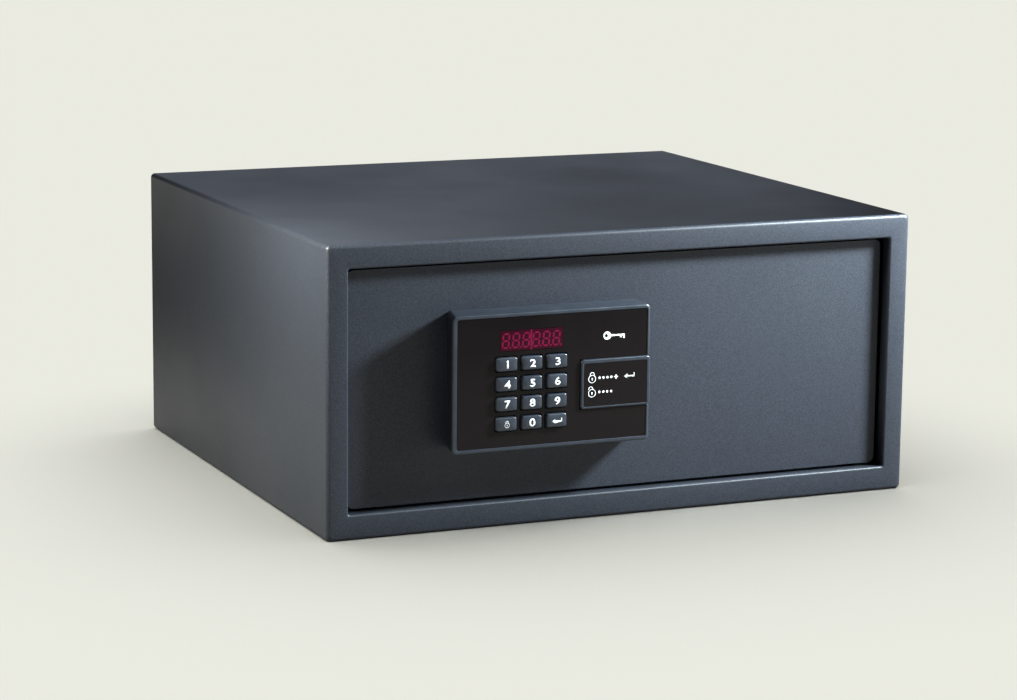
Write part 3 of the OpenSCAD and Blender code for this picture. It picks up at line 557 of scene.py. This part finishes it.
section = [leaning(housing, unit_back), leaning(housing, unit_back - housing_wall)]
for inset, depth in rounding(rim_roll):
    section.append(leaning(grown(housing, -inset), unit_front + depth))
for inset, depth in reversed(rounding(rim_edge, 3)):
    section.append(outline(*grown(fascia, inset + pocket_fit), pocket_r, unit_front + depth))
section.append(outline(*grown(fascia, pocket_fit), pocket_r, pocket_y))
section.append(outline(*grown(fascia, -ledge), ledge, pocket_y))
section.append(outline(*grown(fascia, -ledge), ledge, unit_back - housing_wall))
shell = skin("moulded_housing", section, "door", "satin_plastic")
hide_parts("keypad_housing")
print("housing points:", len(shell.data.vertices))

# %% [markdown]
# # The two openings in the housing
# The service cover lies in a step in the housing's right side, and the key lock goes through its
# back. Both could be drawn as part of the skin, but then its outlines would no longer match from
# one to the next. A boolean is simpler: a cutter of the opening's shape is taken away.

# %% Cut the openings
def cut(piece, cutter):
    """Takes the cutter's shape out of the piece for good and deletes the cutter."""
    boolean = piece.modifiers.new("cut", "BOOLEAN")
    boolean.object = cutter
    boolean.solver = "EXACT"
    bpy.context.view_layer.update()
    shaped = piece.evaluated_get(bpy.context.evaluated_depsgraph_get())
    mesh = bpy.data.meshes.new_from_object(shaped)
    piece.modifiers.clear()
    piece.data = mesh
    bpy.data.objects.remove(cutter)
    return piece


def cutter_from(*outlines):
    return added("cutter", skin_mesh("cutter", outlines))


cover = rect_of("service_cover")
cover_front, cover_back = (corner.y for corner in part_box("service_cover"))
cover_fit = 0.3 * mm
past_side = 10 * mm
step = (cover[0] - cover_fit, cover[1] + past_side, cover[2] - cover_fit, cover[3] + cover_fit)
step_depths = (unit_front - 5 * mm, cover_back + 0.1 * mm)
cut(shell, cutter_from(*(outline(*step, 2 * mm, y) for y in step_depths)))

nut = rect_of("cylinder_nut")
barrel_x, barrel_z = (nut[0] + nut[1]) / 2, (nut[2] + nut[3]) / 2
barrel_r = 7.8 * mm
barrel_box = (barrel_x - barrel_r, barrel_x + barrel_r, barrel_z - barrel_r, barrel_z + barrel_r)
barrel_depths = (unit_back - 8 * mm, unit_back + 12 * mm)
cut(shell, cutter_from(*(outline(*barrel_box, 0.999 * barrel_r, y) for y in barrel_depths)))
round_edges(shell, 0.25 * mm)
print("housing faces:", len(shell.data.polygons))

# %% [markdown]
# # The service cover
# The cover is a small lid that slides off to the right, over the housing's edge. Behind it are the
# override lock and a socket for emergency power. It has the same satin finish as the housing, a
# round rim that stands a little proud, and a black label laid into it.

# %% Build the service cover
label = rect_of("cover_label")
label_fit = 0.1 * mm
label_depth = 0.4 * mm
label_r = 1.2 * mm
hollow = grown(cover, -3 * mm)
hollow_depth = 1.4 * mm
section = [outline(*hollow, 1 * mm, cover_back - hollow_depth), outline(*hollow, 1 * mm, cover_back),
           outline(*cover, 2 * mm, cover_back)]
for inset, depth in rounding(1.0 * mm):
    section.append(outline(*grown(cover, -inset), 2.4 * mm, cover_front + depth))
for inset, depth in reversed(rounding(0.25 * mm, 2)):
    section.append(outline(*grown(label, inset + label_fit), label_r, cover_front + depth))
section.append(outline(*grown(label, label_fit), label_r, cover_front + label_depth))
lid = skin("moulded_service_cover", section, "service_cover", "satin_plastic")
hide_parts("service_cover")
round_edges(lid, 0.1 * mm)
print("cover in mm:", round((cover[1] - cover[0]) / mm, 1), "by", round((cover[3] - cover[2]) / mm, 1))

# %% [markdown]
# # The keys
# Each key is a cap on a wide flange. The flange is behind the fascia and stops the key from
# falling out. The cap has round shoulders and a crowned face, which is why one side of each key is
# bright and the other dark. The crown is a parabola from the shoulder to the middle.
# One function makes all twelve, and each rides on its own body, so each can be pressed alone.

# %% Build the keys
key_names = [f"key_{n}" for n in range(1, 10)] + ["key_close", "key_0", "key_enter"]
key_lip = 1.7 * mm
flange_t = 1.1 * mm
shoulder = 0.9 * mm
crown = 0.45 * mm
crown_rows = 6
flange_r, cap_r, middle_r = 0.4 * mm, 1.4 * mm, 0.2 * mm


def crown_depth(share):
    """How far the face lies behind its highest point; share is 0 at the shoulder, 1 in the middle."""
    return crown * (1 - share) ** 2


def make_key(node):
    low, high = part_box(node)
    flange = rect_of(node)
    cap = grown(flange, -key_lip)
    half = (cap[3] - cap[2]) / 2
    top = high.y - flange_t
    rows = [outline(*flange, flange_r, high.y, 4), outline(*flange, flange_r, top, 4),
            outline(*cap, cap_r, top, 4)]
    for inset, depth in rounding(shoulder):
        rows.append(outline(*grown(cap, -inset), cap_r, low.y + crown + depth, 4))
    for row in range(1, crown_rows):
        share = row / crown_rows
        inset = shoulder + (half - shoulder) * share
        radius = cap_r * (1 - share) + middle_r * share
        rows.append(outline(*grown(cap, -inset), radius, low.y + crown_depth(share), 4))
    key = skin("cap_of_" + node, rows, node, "satin_plastic")
    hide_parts(node)


for node in key_names:
    make_key(node)
print("keys:", len(key_names))

# %% [markdown]
# # White print
# The numbers on the keys and the signs on the label are printed, so they lie on the surface as a
# film a few hundredths of a millimetre thick. Each is a flat outline that is filled and given that
# thickness. The numbers come from Blender's own font, made bolder. The other signs are drawn as
# strokes: a padlock, a return arrow, dots for the digits of a code, and a small key.

# %% Print helpers
finishes["white_print"] = moulding("white_print", (0.86, 0.87, 0.88), 0.5, 0.00001)
film_t = 0.04 * mm
bolder = 0.021


def stroke(points, width):
    """A closed outline round a line of points."""
    left = []
    right = []
    last = len(points) - 1
    for n, (x, z) in enumerate(points):
        ax, az = points[max(n - 1, 0)]
        bx, bz = points[min(n + 1, last)]
        length = math.hypot(bx - ax, bz - az) or 1
        nx, nz = -(bz - az) / length * width / 2, (bx - ax) / length * width / 2
        left.append((x + nx, z + nz))
        right.append((x - nx, z - nz))
    return left + right[::-1]


def arc(x, z, radius, start, end, steps=20):
    angles = [math.radians(start + (end - start) * n / steps) for n in range(steps + 1)]
    return [(x + radius * math.cos(a), z + radius * math.sin(a)) for a in angles]


def filled(shapes):
    """A flat filled curve from closed outlines. An outline inside another is a hole."""
    curve = bpy.data.curves.new("sign", "CURVE")
    curve.dimensions = "2D"
    curve.fill_mode = "BOTH"
    for points in shapes:
        spline = curve.splines.new("POLY")
        spline.points.add(len(points) - 1)
        for point, (x, z) in zip(spline.points, points):
            point.co = (x, z, 0, 1)
        spline.use_cyclic_u = True
    return curve


def number(text):
    curve = bpy.data.curves.new("number", "FONT")
    curve.body = text
    curve.offset = bolder
    return curve


def lay_print(name, curve, centre, height, y, body, finish="white_print", face=None, wider=1.0):
    """Turns a flat curve into a thin film on the front of a piece, with the height asked for.

    Face says how far a crowned surface lies behind y, and then the film is cut fine to follow it.
    """
    source = added("source", curve)
    bpy.context.view_layer.update()
    flat = source.evaluated_get(bpy.context.evaluated_depsgraph_get())
    mesh = bpy.data.meshes.new_from_object(flat)
    bpy.data.objects.remove(source)
    mesh.name = name
    xs = [v.co.x for v in mesh.vertices]
    zs = [v.co.y for v in mesh.vertices]
    middle_x, middle_z = (min(xs) + max(xs)) / 2, (min(zs) + max(zs)) / 2
    size = height / (max(zs) - min(zs))
    bm = bmesh.new()
    bm.from_mesh(mesh)
    bmesh.ops.remove_doubles(bm, verts=bm.verts, dist=1e-5)
    if face:
        bmesh.ops.triangulate(bm, faces=bm.faces)
        bmesh.ops.subdivide_edges(bm, edges=bm.edges, cuts=2, use_grid_fill=True)
    for v in bm.verts:
        x = centre[0] + (v.co.x - middle_x) * size * wider
        z = centre[1] + (v.co.y - middle_z) * size
        v.co = (x, y - film_t + (face(x, z) if face else 0), z)
    back = bmesh.ops.extrude_face_region(bm, geom=bm.faces[:])["geom"]
    for v in (item for item in back if isinstance(item, bmesh.types.BMVert)):
        v.co.y += film_t
    bmesh.ops.recalc_face_normals(bm, faces=bm.faces)
    bm.to_mesh(mesh)
    bm.free()
    mesh.materials.clear()
    return new_piece(name, mesh, body, finish)


print("a padlock arch has", len(arc(0, 0, 1, 0, 180)), "points")

# %% [markdown]
# # The signs
# A sign says the same in every language, so the two word keys and the label carry signs: a padlock
# for lock, a return arrow for enter, one dot for each digit of the code, and a key.
# They could be drawn in a font, but a few strokes and arcs are easier to change. Each sign has its
# own units, because its height is set when it is laid on.

# %% The signs
def disc(x, z, radius, steps):
    return arc(x, z, radius, 0, 360, steps)[:-1]


def padlock(is_open=False):
    """A round padlock: a ring, a keyhole and a shackle, which is swung aside when open."""
    aside = 0.35 if is_open else 0.0
    shackle = arc(-aside, 1.05, 0.52, -8 if is_open else 0, 180) + [(-0.52 - aside, 0.85)]
    if not is_open:
        shackle = [(0.52, 0.8)] + shackle
    keyhole = [disc(0, 0.08, 0.2, 12), stroke([(0, -0.14), (0, -0.42)], 0.2)]
    return [disc(0, 0, 1.0, 28), disc(0, 0, 0.84, 28), *keyhole, stroke(shackle, 0.16)]


def return_arrow():
    shaft = stroke([(1.5, 0.9), (1.5, 0.0), (-0.7, 0.0)], 0.36)
    head = [(-1.6, 0.0), (-0.6, 0.62), (-0.6, -0.62)]
    return [shaft, head]


def plus_sign(arm=1.0, half=0.2):
    corner = [(half, half), (half, arm), (-half, arm)]
    turns = [math.radians(90 * n) for n in range(4)]
    return [[(x * math.cos(a) - z * math.sin(a), x * math.sin(a) + z * math.cos(a))
             for a in turns for x, z in corner]]


def dots(count, radius=0.28, pitch=0.95):
    return [disc(n * pitch, 0, radius, 16) for n in range(count)]


def key_sign():
    bow = [disc(0, 0, 1.0, 28), disc(-0.25, 0, 0.42, 20)]
    shaft = stroke([(0.95, 0.0), (4.6, 0.0)], 0.42)
    teeth = [stroke([(x, 0.0), (x, -length)], 0.42) for x, length in ((4.35, 0.85), (3.55, 0.62))]
    return bow + [shaft] + teeth


print("outlines in a padlock:", len(padlock()))

# %% [markdown]
# # The print on the keys
# The print has to follow the crown of its key, or it would sink into the shoulder. So the same
# parabola that shaped the key tells each point of the print how deep it lies.

# %% Print on the keys
digit_h = 5.3 * mm
key_signs = {"close": (padlock(), 4.6 * mm), "enter": (return_arrow(), 3.4 * mm)}


def on_crown(node):
    """How far a key's face lies behind its highest point, at a place on it."""
    cap = grown(rect_of(node), -key_lip)
    half = (cap[3] - cap[2]) / 2
    last_share = (crown_rows - 1) / crown_rows

    def face(x, z):
        inset = min(x - cap[0], cap[1] - x, z - cap[2], cap[3] - z)
        share = min(last_share, max(0.0, (inset - shoulder) / (half - shoulder)))
        return crown_depth(share)
    return face


for node in key_names:
    x0, x1, z0, z1 = rect_of(node)
    centre = ((x0 + x1) / 2, (z0 + z1) / 2)
    word = node.removeprefix("key_")
    if word in key_signs:
        shapes, height = key_signs[word]
        curve, wider = filled(shapes), 1.0
    else:
        curve, height, wider = number(word), digit_h, 1.2
    lay_print("print_on_" + node, curve, centre, height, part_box(node)[0].y, node,
              face=on_crown(node), wider=wider)
print("printed keys:", len(key_names))

# %% [markdown]
# # The print on the label and the fascia
# The label tells the guest how to lock the safe: type a code and press enter. The lower row opens
# it again with the same code. The places are measured from the label's left and top edges.

# %% Print on the label and the fascia
label_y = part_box("cover_label")[0].y
fascia_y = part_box("fascia_panel")[0].y
padlock_x, dots_x, plus_x, arrow_x = (label[0] + along * mm for along in (5.9, 15.6, 23.4, 33.2))
closed_z, open_z = (label[3] - down * mm for down in (9.6, 19.2))


def on_label(sign, shapes, x, z, height):
    lay_print("label_" + sign, filled(shapes), (x, z), height, label_y, "service_cover")


for row, z in (("closed", closed_z), ("open", open_z)):
    on_label("padlock_" + row, padlock(row == "open"), padlock_x, z, 7.4 * mm)
    on_label("dots_" + row, dots(4), dots_x, z - 0.4 * mm, 1.7 * mm)
on_label("plus", plus_sign(), plus_x, closed_z - 0.4 * mm, 3 * mm)
on_label("arrow", return_arrow(), arrow_x, closed_z - 0.2 * mm, 3.6 * mm)
key_sign_at = ((cover[0] + cover[1]) / 2 - 1 * mm, fascia[3] - 16.8 * mm)
lay_print("fascia_key_sign", filled(key_sign()), key_sign_at, 5.6 * mm, fascia_y, "door")
print("label rows in mm from its foot:", [round((z - label[2]) / mm, 1) for z in (closed_z, open_z)])

# %% [markdown]
# # The display
# The display is six seven-segment digits behind a dark red filter. When it sleeps, the bars still
# show faintly, and the seam between its two halves is a brighter line.
# The bars are drawn as flat shapes with pointed ends, leant over a little. Their faint glow is painted
# light:
# a weak emission that stands in for the unlit bars and the seam catching light behind the filter.

# %% Build the display's digits
# The emission is painted light: the sleeping display gives no light of its own.
def bars_painted_glow():
    glow = new_finish("bars_painted_glow", (0.08, 0.002, 0.018), 0.25, Specular_IOR_Level=0.2,
                      Emission_Color=(1.0, 0.02, 0.20, 1), Emission_Strength=0.10)
    feed(glow, "Roughness", between(glow, noise(glow, 400, 2), 0.2, 0.3))
    return glow


finishes["bars_painted_glow"] = bars_painted_glow()


def bar(x0, z0, x1, z1, width, gap=0.04):
    """One segment: a line with pointed ends."""
    length = math.hypot(x1 - x0, z1 - z0)
    ux, uz = (x1 - x0) / length, (z1 - z0) / length
    h = width / 2
    places = ((gap, 0), (gap + h, h), (length - gap - h, h), (length - gap, 0),
              (length - gap - h, -h), (gap + h, -h))
    return [(x0 + ux * a - uz * b, z0 + uz * a + ux * b) for a, b in places]


def seven_bars(width=0.47, height=1.0, line=0.13):
    half = height / 2
    ends = ((0, 0, width, 0), (0, half, width, half), (0, height, width, height),
            (0, 0, 0, half), (0, half, 0, height), (width, 0, width, half), (width, half, width, height))
    return [bar(*end, line) for end in ends] + [disc(width + 0.16, 0.0, 0.07, 12)]


window = rect_of("display_window")
window_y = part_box("display_window")[0].y
window_middle = ((window[0] + window[1]) / 2, (window[2] + window[3]) / 2)
digits = 6
digit_pitch = 0.79
slant = 0.09
shapes = [[(x + n * digit_pitch + slant * z, z) for x, z in points]
          for n in range(digits) for points in seven_bars()]
seam_x = digits * digit_pitch / 2 - 0.11
shapes.append(stroke([(seam_x, -0.22), (seam_x, 1.22)], 0.13))
lay_print("display_bars", filled(shapes), window_middle, 13.2 * mm, window_y, "door", "bars_painted_glow")
print("digits:", digits, "window in mm:", round((window[1] - window[0]) / mm, 1))

# %% [markdown]
# # The floor and the studio
# The safe stands on a wide pale sheet with no visible edge, as in a catalogue. A floor ends at a
# horizon, which a low camera would see, so a round wall stands far off and glows in the floor's
# own tone. Only the camera sees that wall: it lights nothing.
# A dark satin box looks like what it mirrors. A pale floor all round would turn its lower parts
# milky, so two black cards lie on the floor where the front and the left side mirror it. The
# faces see the cards, and the camera doesn't. None of this is part of the safe.

# %% The floor and the studio
def staged(name, corners, faces, paper):
    """A plain mesh of the studio."""
    mesh = bpy.data.meshes.new(name)
    mesh.from_pydata(corners, [], faces)
    mesh.materials.append(paper)
    item = added(name, mesh)
    return item


def pale_floor(half_size=30.0):
    corners = [(-half_size, -half_size, 0), (half_size, -half_size, 0),
               (half_size, half_size, 0), (-half_size, half_size, 0)]
    paper = new_finish("pale_paper", (0.84, 0.84, 0.77), 1.0, Specular_IOR_Level=0.0)
    return staged("floor", corners, [(0, 1, 2, 3)], paper)


def far_wall(radius=20.0, height=12.0, sides=48):
    angles = [math.radians(360 * n / sides) for n in range(sides)]
    corners = [(radius * math.cos(a), radius * math.sin(a), z) for z in (0, height) for a in angles]
    faces = [(n, (n + 1) % sides, sides + (n + 1) % sides, sides + n) for n in range(sides)]
    paper = new_finish("far_paper", (0, 0, 0), 1.0, Specular_IOR_Level=0.0,
                       Emission_Color=(0.823, 0.827, 0.749, 1), Emission_Strength=1.0)
    wall = staged("far_wall", corners, faces, paper)
    wall.visible_diffuse = False
    wall.visible_glossy = False
    wall.visible_transmission = False
    wall.visible_shadow = False


def black_card(name, corners):
    """Black paper just over the floor. Only the safe's faces see it."""
    card = staged(name, [(x, y, 1 * mm) for x, y in corners], [range(len(corners))], black_paper)
    card.visible_camera = False
    card.visible_diffuse = False
    card.visible_shadow = False


floor = pale_floor()
far_wall()
black_paper = new_finish("black_paper", (0.012, 0.012, 0.013), 1.0, Specular_IOR_Level=0.0)
black_card("card_in_front", [(-0.62, -0.48), (-0.62, -2.0), (0.7, -2.0), (0.7, -1.0)])
black_card("card_at_left", [(-1.1, -0.05), (-0.44, -0.05), (-0.30, 0.54), (-0.15, 1.13), (-1.1, 1.4)])

# %% [markdown]
# # The light
# One very soft sun stands for a whole white studio ceiling and gives the floor its even tone and
# its soft shadow. It lights nothing but the floor, because a ceiling mirrored in the top of the
# safe would hide its dark colour.
# The safe has four soft lights of its own. The key stands close to the right and makes the front
# fade from light to dark. A low panel fills in from the far right. A small light at the left
# brightens the side near its front edge. A long one behind is what the top mirrors. They would
# leave pools of light on the floor, so the floor is left out of what they light.

# %% Lights
def soft_light(name, place, aim, size, watts, colour, skip, spread=180):
    """An area light that lights everything but the pieces to skip."""
    data = bpy.data.lights.new(name, "AREA")
    data.shape = "RECTANGLE"
    data.size, data.size_y = size
    data.energy = watts
    data.color = colour
    data.spread = math.radians(spread)
    lamp = added(name, data)
    lamp.location = place
    lamp.rotation_euler = (Vector(aim) - Vector(place)).to_track_quat("-Z", "Y").to_euler()
    lamp.visible_camera = False
    group = bpy.data.collections.new(name + " skips")
    lamp.light_linking.receiver_collection = group
    for n, piece in enumerate(skip):
        group.objects.link(piece)
        group.collection_objects[n].light_linking.link_state = "EXCLUDE"


def ceiling_sun():
    """A wide sun that lights the floor alone."""
    data = bpy.data.lights.new("sun", "SUN")
    data.energy = 3.0
    data.angle = math.radians(105)
    data.color = (1.0, 1.0, 0.985)
    lamp = added("sun", data)
    lamp.rotation_euler = (math.radians(-10), math.radians(3), 0)
    only_floor = bpy.data.collections.new("sun lights")
    only_floor.objects.link(floor)
    lamp.light_linking.receiver_collection = only_floor


def dim_room():
    """A weak bluish light from all sides, so that no face is quite black."""
    world = bpy.data.worlds.new("studio")
    scene.world = world
    world.use_nodes = True
    room = world.node_tree.nodes["Background"]
    room.inputs["Color"].default_value = (0.80, 0.88, 1.0, 1)
    room.inputs["Strength"].default_value = 0.05


cool, warm, sky_blue = (0.84, 0.96, 1.0), (1.0, 1.0, 0.88), (0.74, 0.82, 1.0)
body_sheet = frame["nodes"]["cabinet_shell"]
soft_light("key", (0.56, -0.43, 0.50), (0.17, -0.19, 0.21), (0.14, 0.14), 5.4, cool,
           skip=[floor, body_sheet], spread=70)
soft_light("panel", (1.05, -0.80, 0.12), (-0.1, -0.19, 0.1), (0.3, 0.2), 1.5, cool, skip=[floor])
soft_light("left", (-0.42, -0.18, 0.36), (-0.215, -0.15, 0.19), (0.1, 0.1), 2.0, warm,
           skip=[floor, shell], spread=110)
soft_light("back", (0.42, 1.35, 0.42), (0.05, 0.1, 0.195), (1.2, 0.3), 1.05, sky_blue, skip=[floor])
ceiling_sun()
dim_room()
scene.view_settings.view_transform = "Standard"
